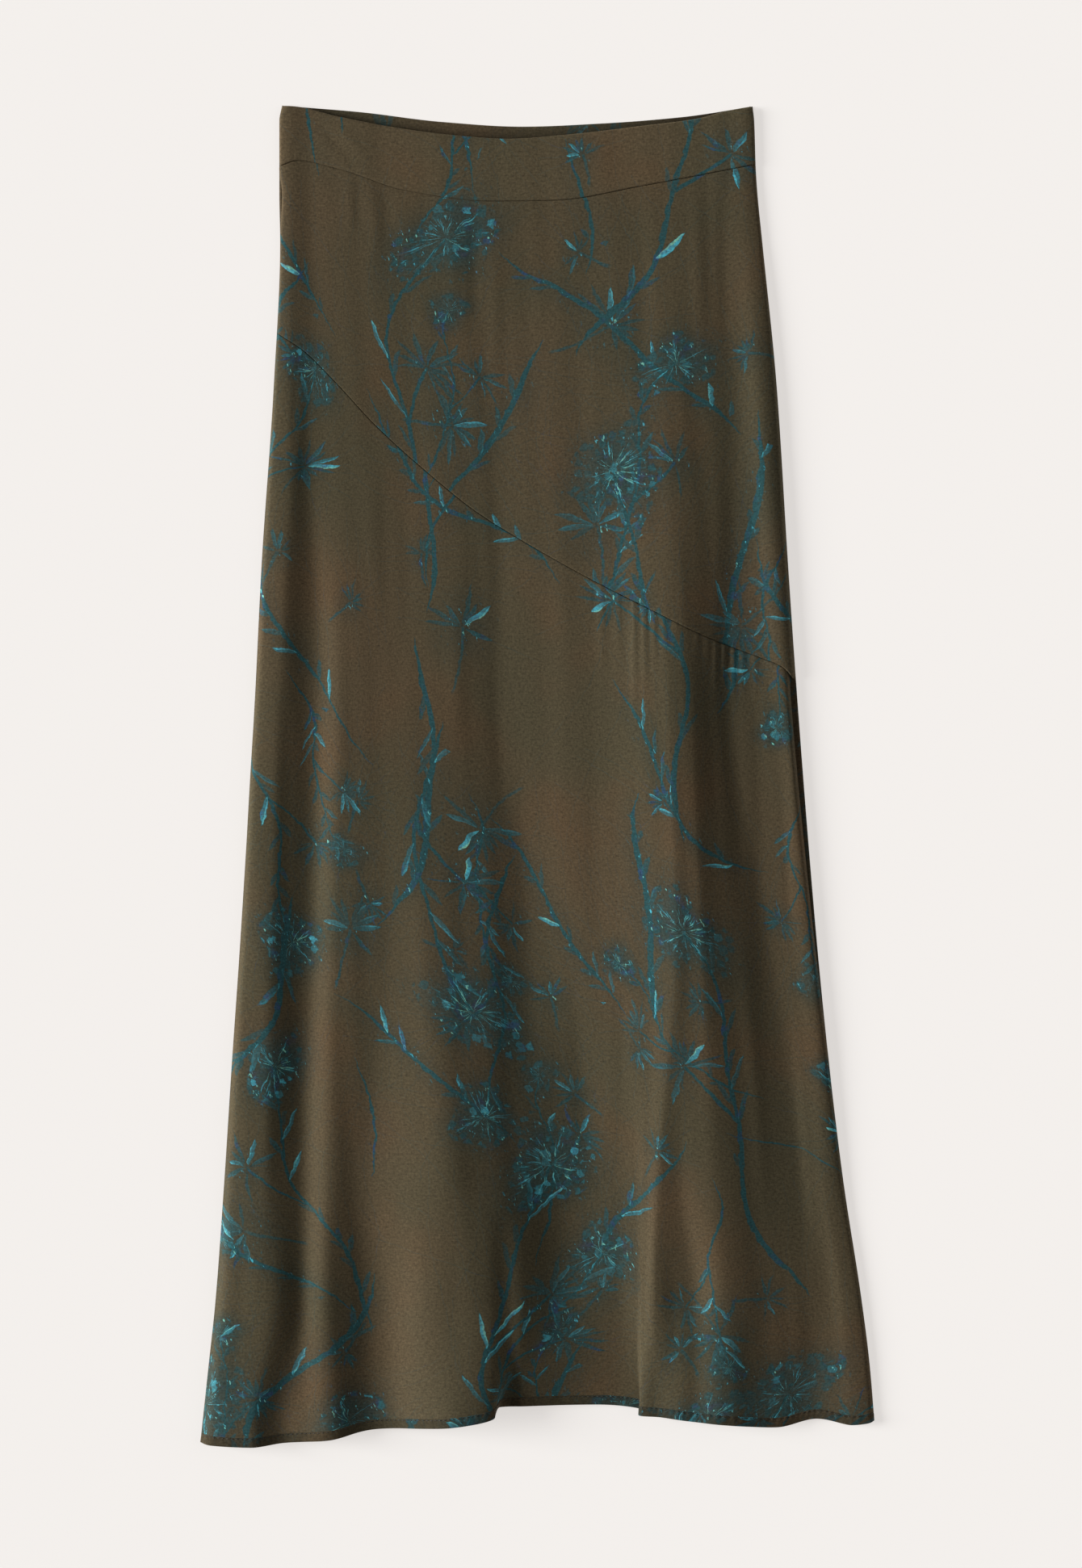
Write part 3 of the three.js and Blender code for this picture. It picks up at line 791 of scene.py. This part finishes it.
# The print is a plain one of long winding stems with narrow leaves, and plants with a round seed head at the
# tip and a twig with a fan of leaves. Stems run in lanes. Plants and fans lie in a grid of cells with every
# second column dropped by half, one in each cell, turned, mirrored and bent by its own luck. Places and sizes
# are in millimetres, turns in radians, and share is how many of the cells have their plant.
Vine = namedtuple("Vine", "pitch tilt sway stem leaf wide gap lean seed")
VINES = [
    Vine(214, 0.32, 27, 5.4, 27, 2.4, 25, 38, 11),
    Vine(176, -0.72, 22, 3.4, 21, 2.0, 18, 42, 12),
]
Plant = namedtuple("Plant", "width height shift turn length stem leaf wide gap lean head fan share seed")
PLANTS = [
    Plant(204, 346, 60, 0.9, 322, 4.4, 30, 2.5, 21, 34, 38, 36, 1.0, 1),
    Plant(168, 262, 170, 1.1, 240, 3.1, 24, 2.1, 15, 40, 28, 30, 0.75, 2),
    Plant(132, 190, 95, 1.5, 164, 2.1, 18, 1.7, 11, 44, 15, 24, 0.5, 3),
]
Fan = namedtuple("Fan", "width height shift turn size wide leaves spread share seed")
FANS = [
    Fan(122, 150, 40, 6.2, 36, 2.3, 13, 4.4, 0.34, 7),
    Fan(66, 74, 20, 6.2, 19, 1.5, 9, 3.6, 0.2, 8),
]
LINE_EDGE = 0.6  # how softly a drawn line ends
STEM_INK = 1.7  # how much ink a stem takes, so that it stays firm where the print is patchy
STEM_TONE = 0.14


def channels(socket):
    """The three parts of a colour socket."""
    return [Wire(part) for part in new_node("SeparateColor", {0: Wire(socket)}).outputs]


def voronoi(place, scale):
    """Distance from the nearest of many scattered points, in pitches, and its three lucky numbers."""
    node = new_node("TexVoronoi", {"Vector": place, "Scale": scale}, voronoi_dimensions="2D")
    return Wire(node.outputs["Distance"]), channels(node.outputs["Color"])


def in_cell(u, v, row):
    """Places up and across one cell of a layer, turned by the cell's luck, and its lucky numbers."""
    column = maths("FLOOR", u / row.width)
    dropped = v + row.shift - maths("FLOORED_MODULO", column, 2.0) * row.height / 2
    line_number = maths("FLOOR", dropped / row.height)
    x = u - (column + 0.5) * row.width
    y = dropped - (line_number + 0.5) * row.height
    place = vector(column + 0.5, line_number + 0.5, row.seed)
    node = new_node("TexWhiteNoise", {"Vector": place}, noise_dimensions="3D")
    lucks = channels(node.outputs["Color"])
    lucks.append(maths("FRACT", lucks[0] * 71.3))
    mirror = (lucks[0] > 0.5) * 2 - 1
    upright = (lucks[1] > 0.35) * 2 - 1
    turn = (lucks[2] - 0.5) * row.turn
    x = x * mirror
    y = y * upright
    cosine, sine = maths("COSINE", turn), maths("SINE", turn)
    return y * cosine + x * sine, x * cosine - y * sine, lucks


def radius_at(along, across):
    return maths("SQRT", along * along + across * across)


def polar(along, across):
    return radius_at(along, across), maths("ARCTAN2", across, along)


def seed_head(along, across, place, size, seed):
    """A round, broken head of florets and fine strokes: how much it covers, its tone and its haze."""
    radius, angle = polar(along, across)
    lobes = maths("COSINE", angle * 3 + seed) * 0.1 + maths("COSINE", angle * 5 + seed * 2) * 0.08
    reach = (lobes + 0.92) * size
    near, lucks = voronoi(place, 1 / 8)
    torn = (noise(place, 1 / 3.2, 2.0, 0.6) - 0.5) * 0.9
    florets = soft(0.2 + lucks[0] * 0.36 + torn - near, 0.16) * (lucks[1] > 0.25) * soft(reach - radius, 2)
    floret_tone = lucks[2] * lucks[2] * lucks[2] * 0.6 + 0.12
    stroke = noise(vector(angle * 10, radius * 0.035, seed), 1.0, 3.0, 0.7)
    strokes = clamped((stroke - 0.53) * 11) * soft(reach * 0.86 - radius, 6)
    stroke_tone = clamped(1.25 - radius / reach * 0.85)
    wash = soft(reach * 0.8 - radius, 14) * 0.55
    haze = clamped(1.4 - radius / (reach + 3))
    shown = soft(size - 5, 1)
    cover = most(florets, wash, strokes * 0.95) * shown
    tone = most(florets * floret_tone, strokes * stroke_tone)
    return cover, clamped(tone), haze * shown


def leaf_fan(along, across, luck_shift, row, size, wide, leaves, spread):
    """Narrow leaves that spread from one point: how much they cover, and their tone."""
    radius, angle = polar(along, across)
    step = spread / leaves
    index = maths("FLOOR", angle / step + 0.5)
    luck = dice(index + luck_shift, row.seed)
    second = maths("FRACT", luck * 39.7)
    tip = size * (0.35 + 0.65 * luck)
    t = clamped((radius - 2) / (tip - 2))
    off = (angle - (index + (second - 0.5) * 0.4) * step) * radius
    half = leaf_width(t) * wide * (0.55 + 0.6 * second)
    blades = soft(half - abs(off), LINE_EDGE) * (luck > 0.25)
    return blades * (abs(angle) < spread / 2), leaf_tone(second, off, half)


def leaf_width(t):
    """A leaf's width at a share of its length: none at both ends, and 1 in the middle."""
    return (t * (1 - t) * 4) ** 0.8


def leaf_tone(luck, off, half):
    """Most leaves are dark, a few bright, and all have one lighter side."""
    return luck * luck * luck * 0.75 + (off > half * 0.3) * 0.18


def side_leaves(start, across, luck_shift, row):
    """Leaves on both sides of a stem: how much they cover, their tone and their place along it."""
    out = abs(across)
    side = across > 0.0
    lean = maths("RADIANS", row.lean)
    slant = maths("SINE", lean)
    sheared = start - out / maths("TANGENT", lean) - out * out * 0.005 + side * row.gap * 0.45
    index = maths("FLOOR", sheared / row.gap)
    luck = dice(index * 2 + side + luck_shift, row.seed)
    second = maths("FRACT", luck * 57.3)
    off = (sheared - (index + 0.32 + second * 0.36) * row.gap) * slant
    t = clamped(out / slant / (row.leaf * (0.4 + 0.6 * second)))
    half = leaf_width(t) * row.wide * (0.55 + 0.55 * luck)
    cover = soft(half - abs(off), LINE_EDGE) * (luck > 0.5)
    return cover, leaf_tone(second, off, half), index


def vine(u, v, grit, *values):
    """Long winding stems in lanes, with narrow leaves: their cover, tone and haze."""
    row = Vine(*values)
    cosine, sine = maths("COSINE", row.tilt), maths("SINE", row.tilt)
    x = u * cosine - v * sine
    y = u * sine + v * cosine
    lane = maths("FLOOR", x / row.pitch)
    luck = dice(lane, row.seed)
    second = maths("FRACT", luck * 57.3)
    wave = maths("SINE", y / 58 + luck * 40) + maths("SINE", y / 27 + second * 40) * 0.35
    across = x - (lane + 0.5) * row.pitch - wave * row.sway
    there = clamped((noise(vector(lane * 17.3, y, row.seed), 1 / 150, 0.0) - 0.42) * 7)
    stem = soft(row.stem / 2 * (0.55 + grit * 0.9) * there - abs(across), LINE_EDGE) * (there > 0.05)
    leaf, tone, _ = side_leaves(y, across, lane * 31, row)
    leaf = leaf * (there > 0.5)
    haze = clamped(0.55 - abs(across) / (row.leaf * 1.4)) * there
    return most(stem * STEM_INK, leaf), stem * STEM_TONE + leaf * tone, haze


def plant(u, v, grit, *values):
    """A bowed stem with narrow leaves, a head at its tip and a twig: its cover, tone and haze."""
    row = Plant(*values)
    along, across, lucks = in_cell(u, v, row)
    share = along / row.length
    wave = maths("SINE", share * 7 + lucks[1] * 6) * 0.055 + maths("SINE", share * 17 + lucks[0] * 9) * 0.012
    across = across - (share * share * (lucks[0] - 0.25) * 0.5 + wave) * row.length
    start = along + row.length / 2
    inside = soft(start, 4) * soft(row.length * 0.86 - start, 4)
    foot = clamped(start / 34 + 0.1)
    thick = row.stem / 2 * (1.2 - start / row.length * 0.8) * (0.6 + grit * 0.8) * foot
    stem = soft(thick - abs(across), LINE_EDGE) * inside
    leaf, tone, index = side_leaves(start, across, lucks[2] * 50, row)
    leaf = leaf * (index > 1.5) * (index < row.length / row.gap * 0.84)

    fork = start - row.length * 0.42
    aside = across * ((lucks[2] > 0.5) * 2 - 1)
    twig_along = fork * 0.83 + aside * 0.56
    twig_across = aside * 0.83 - fork * 0.56 - fork * fork * 0.002
    twig_length = row.fan * 1.6
    twig = soft(row.stem * 0.3 - abs(twig_across), LINE_EDGE)
    twig = twig * soft(twig_along, 3) * soft(twig_length - twig_along, 3)
    beyond = twig_along - twig_length
    blades, blade_tone = leaf_fan(beyond, twig_across, lucks[0] * 40, row, row.fan, row.wide, 12, 4.6)

    head, head_tone, haze = seed_head(start - row.length * 0.86, across, vector(u, v), row.head, row.seed)
    stem_tone = stem * STEM_TONE + leaf * tone
    tone = most(stem_tone, head * head_tone, blades * blade_tone + twig * STEM_TONE)
    cover = most(stem * STEM_INK, leaf, twig * STEM_INK, blades, head)
    shown = lucks[3] < row.share
    fan_haze = clamped(0.8 - radius_at(beyond, twig_across) / row.fan)
    return cover * shown, tone, most(haze, fan_haze) * shown


def fan(u, v, grit, *values):
    """A fan of narrow leaves on a short stalk: its cover, tone and haze."""
    row = Fan(*values)
    along, across, lucks = in_cell(u, v, row)
    blades, tone = leaf_fan(along, across, lucks[0] * 40, row, row.size, row.wide, row.leaves, row.spread)
    bent = across - along * along * (lucks[1] - 0.5) * 0.012
    stalk = soft(1.1 * (0.5 + grit) - abs(bent), LINE_EDGE)
    stalk = stalk * soft(0 - along, 1) * soft(along + row.size * 1.3, 4)
    shown = lucks[3] < row.share
    haze = clamped(0.8 - radius_at(along, across) / row.size * 0.8)
    return most(blades, stalk) * shown, blades * tone + stalk * STEM_TONE, haze * shown


def layered(layers):
    """One cover, tone and haze from several, later ones on top."""
    cover, tone, haze = layers[0]
    for next_cover, next_tone, next_haze in layers[1:]:
        tone = tone + (next_tone - tone) * clamped(next_cover)
        cover = most(cover, next_cover)
        haze = most(haze, next_haze)
    return cover, tone, haze


OLIVE = colour(77, 70, 52)
BROWN = colour(86, 73, 54)
RUST = colour(94, 71, 49)
PRINT_STOPS = [
    (0.0, colour(40, 72, 74)),
    (0.36, colour(42, 83, 87)),
    (0.64, colour(52, 116, 126)),
    (0.82, colour(78, 176, 194)),
    (1.0, colour(128, 194, 170)),
]
VIOLET = colour(58, 62, 112)
HAZE = colour(34, 54, 52)
HAZE_SHARE = 0.62  # how far the haze round the motifs colours the ground
SHEEN_TINT = colour(212, 190, 152)
THREAD_DARK = colour(26, 24, 18)
THREAD_LIGHT = colour(46, 42, 31)


def ground_colour(place):
    """The brown ground, with its olive and rusty clouds."""
    clouds = noise(place, 1 / 170, 3.0)
    rust = noise(place, 1 / 80, 2.0)
    base = mixed(clamped((clouds - 0.4) * 4), OLIVE, BROWN)
    return mixed(clamped((rust - 0.52) * 4) * 0.5, base, RUST)


MOTIF_OUT = {"cover": "Float", "tone": "Float", "haze": "Float"}


def drawn(u, v):
    """The whole print: its haze, how much its motifs cover, and their colour."""
    place = vector(u, v)
    blur = noise(place, 1 / 8, 2.0)
    wash = noise(place, 1 / 30, 3.0)
    brush = noise(place, 0.45, 3.0, 0.7)
    flecks = noise(vector(u * 0.3 + v * 0.12, v * 0.13 - u * 0.05, 3), 1.0, 2.0, 0.7)
    u = u + (blur - 0.5) * 5
    v = v + (wash - 0.5) * 8
    layers = []
    for name, motif, rows in (("vine", vine, VINES), ("fan", fan, FANS), ("plant", plant, PLANTS)):
        group = node_group("print_" + name, ["u", "v", "grit", *rows[0]._fields], MOTIF_OUT, motif)
        layers += [grouped(group, u, v, blur, *row) for row in reversed(rows)]
    cover, tone, haze = layered(layers)
    fleck = clamped((flecks - 0.61) * 14) * clamped(haze * 1.6)
    cover = most(cover, fleck)
    tone = most(tone, fleck * (0.42 + wash))
    ink = ramp(clamped(tone * (0.45 + wash * 1.1)), PRINT_STOPS)
    ink = mixed(clamped((blur - 0.52) * 7) * clamped((wash - 0.48) * 8) * 0.5, ink, VIOLET)
    patchy = clamped(0.35 + wash * 0.95) * clamped(brush * 2.6 - 0.4)
    return haze * clamped(wash * 1.7 - 0.1), clamped(cover * patchy), ink


PRINT_OUT = {"haze": "Float", "cover": "Float", "ink": "Color"}


def printed(print_group, ground, u, v, strength):
    """The ground with the print on it."""
    haze, cover, ink = grouped(print_group, u, v)
    shaded = mixed(haze * (HAZE_SHARE * strength), ground, HAZE)
    return mixed(cover * strength, shaded, ink)


# The front's waist edge as a bow over the back's pattern: its lowest place, and its rise over the square of
# the distance from there. Under it the back's facing has painted shade, which clears at this height above the
# bow.
EDGE_MIDDLE = (21.6, 472.5)
EDGE_BOW = 0.0009
EDGE_SHADE = {"light": 0.46, "height": 10}


def weave(place, u, v):
    """The crepe's grain and its threads, from 0 to 1."""
    grain = noise(place, 0.55, 2.0, 0.7)
    across = noise(vector(u * 0.25, v * 0.9), 1.0, 2.0, 0.6)
    down = noise(vector(u * 0.9, v * 0.25, 5), 1.0, 2.0, 0.6)
    return grain, across * 0.65 + down * 0.35


def new_material(name):
    material = bpy.data.materials.new(name)
    material.use_nodes = True
    tree = material.node_tree
    return material, tree, tree.nodes["Principled BSDF"]


def pattern_place(tree):
    """Place on the flat cloth, in millimetres."""
    node = tree.nodes.new("ShaderNodeUVMap")
    node.uv_map = "Pattern"
    split = new_node("SeparateXYZ", {0: Wire(node.outputs["UV"])})
    u, v = [Wire(socket) * (1 / MM) for socket in split.outputs[:2]]
    return u, v, vector(u, v)


def bumped(height, strength, distance):
    node = new_node("Bump", {"Strength": strength, "Distance": distance, "Height": height})
    return Wire(node.outputs["Normal"])


def painted_shade_under_front(u, v):
    """Painted shade on the back's facing: the share of its colour kept, which darkens down to the front's
    edge.
    """
    middle = u - EDGE_MIDDLE[0]
    above = v - middle * middle * EDGE_BOW - EDGE_MIDDLE[1]
    return EDGE_SHADE["light"] + clamped(above / EDGE_SHADE["height"]) * (1 - EDGE_SHADE["light"])


def no_painted_shade(u, v):
    return 1.0


def cloth_material(name, print_group, strength, light, sheen, painted_shade_at):
    """Printed crepe. Strength is the print's, and light the ground's. The last argument gives shade painted
    into its colour.
    """
    material, tree, shader = new_material(name)
    u, v, place = pattern_place(tree)
    grain, threads = weave(place, u, v)
    shade = printed(print_group, ground_colour(place), u, v, strength)
    speckle = light * (grain * 1.4 + threads * 1.3 - 0.35)
    # Painted shade: the colour darkens where the front's edge would shade the facing
    speckle = speckle * painted_shade_at(u, v)
    shade = mixed(1.0, shade, vector(speckle, speckle, speckle), "MULTIPLY")
    plug(shader.inputs["Base Color"], shade)
    plug(shader.inputs["Roughness"], 0.72 + grain * 0.22)
    plug(shader.inputs["Normal"], bumped(grain * 0.6 + threads * 0.5, 0.35, 0.0005))
    shader.inputs["Sheen Weight"].default_value = sheen
    shader.inputs["Sheen Roughness"].default_value = 0.45
    shader.inputs["Sheen Tint"].default_value = SHEEN_TINT
    shader.inputs["Specular IOR Level"].default_value = 0.1
    return material


def thread_material():
    material, tree, shader = new_material("stitching_thread")
    u, v, place = pattern_place(tree)
    twist = noise(vector(u * 1.8 + v * 1.8, v - u), 1.0, 1.0)
    shade = mixed(twist, THREAD_DARK, THREAD_LIGHT)
    plug(shader.inputs["Base Color"], shade)
    plug(shader.inputs["Roughness"], 0.5 + twist * 0.2)
    plug(shader.inputs["Normal"], bumped(twist, 0.5, 0.0002))
    return material


# Stage

CAMERA_HEIGHT = 4.0
FRAME_HEIGHT = 1.1652  # what the photo shows from top to bottom
CAMERA_AT = (0.0024, -0.0066)
SENSOR = 24
KEY_LIGHT = {"azimuth": 176, "elevation": 21, "energy": 4.9, "angle": 26}
FILL_LIGHT = {"azimuth": 8, "elevation": 34, "energy": 0.45, "angle": 50}
AMBIENT = 0.1
FLOOR_COLOUR = (0.34, 0.335, 0.325, 1)
GLOW_COLOUR = (1.0, 0.955, 0.922, 1)
FLOOR_GLOW = 0.65


def place_camera():
    camera = bpy.data.cameras.new("camera")
    camera.sensor_width = SENSOR
    camera.lens = SENSOR * CAMERA_HEIGHT / FRAME_HEIGHT
    holder = placed("camera", camera)
    holder.location = (*CAMERA_AT, CAMERA_HEIGHT)
    bpy.context.scene.camera = holder


def sun(name, azimuth, elevation, energy, angle):
    lamp = bpy.data.lights.new(name, "SUN")
    lamp.energy = energy
    lamp.angle = math.radians(angle)
    a, e = math.radians(azimuth), math.radians(elevation)
    towards = Vector((math.cos(e) * math.cos(a), math.cos(e) * math.sin(a), math.sin(e)))
    placed(name, lamp).rotation_euler = towards.to_track_quat("Z", "Y").to_euler()


def light_room():
    world = bpy.data.worlds.new("room")
    world.use_nodes = True
    background = world.node_tree.nodes["Background"]
    background.inputs["Color"].default_value = (1, 1, 1, 1)
    background.inputs["Strength"].default_value = AMBIENT
    bpy.context.scene.world = world
    sun("key", **KEY_LIGHT)
    sun("fill", **FILL_LIGHT)
    bpy.context.scene.view_settings.view_transform = "Standard"


def lay_floor():
    bpy.ops.mesh.primitive_plane_add(size=40, location=(0, 0, -0.0002))
    floor = bpy.context.object
    floor.name = "floor"
    material, tree, shader = new_material("pale_floor")
    shader.inputs["Base Color"].default_value = FLOOR_COLOUR
    shader.inputs["Roughness"].default_value = 0.9
    shader.inputs["Specular IOR Level"].default_value = 0.1
    shader.inputs["Emission Color"].default_value = GLOW_COLOUR
    shader.inputs["Emission Strength"].default_value = FLOOR_GLOW
    floor.data.materials.append(material)


def declare(piece, node):
    """A cloth piece that stands for a solid: it joins the root body, and the solid is hidden."""
    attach(piece, "root")
    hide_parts(node)


# Each cloth material's look: how strong its print is, how light its ground, its sheen, and its painted shade
# The waistband's lighter ground is painted light; the facing's and the turned hem's darker grounds are
# painted shade
CLOTH_LOOKS = {
    "printed_crepe": (1.0, 1.07, 0.16, no_painted_shade),
    "crepe_inside": (0.45, 0.9, 0.1, no_painted_shade),
    "waistband_crepe": (1.0, 1.16, 0.16, no_painted_shade),
    "waistband_facing": (0.6, 0.97, 0.08, painted_shade_under_front),
    "turned_hem_crepe": (0.85, 0.74, 0.12, no_painted_shade),
}


def build():
    print_group = node_group("skirt_print", ["u", "v"], PRINT_OUT, drawn)
    face, inside, band_face, band_inside, turned = [
        cloth_material(name, print_group, *look) for name, look in CLOTH_LOOKS.items()
    ]
    thread = thread_material()

    lower, lower_places, lower_uv = front_lower(face, inside)
    hem, hem_points = front_hem(turned, inside, lower_places, lower_uv)
    stitch_row = hem_points[HEM_ROWS.index(STITCH_ROW)]
    hem_thread = stitches("front_hem_stitching", stitch_row, thread)
    upper = front_upper(face, inside)
    band = waistband_front(band_face, inside)
    back_band = waistband_back(band_face, band_inside)
    back = back_panel(face, inside)
    back_turned = back_hem_band(face, inside)

    for piece in (hem, hem_thread, back_turned):
        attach(piece, "root")
    declare(back, "back_panel")
    declare(back_band, "waistband_back")
    declare(lower, "front_lower")
    declare(upper, "front_upper")
    declare(band, "waistband_front")


build()
lay_floor()
light_room()
place_camera()
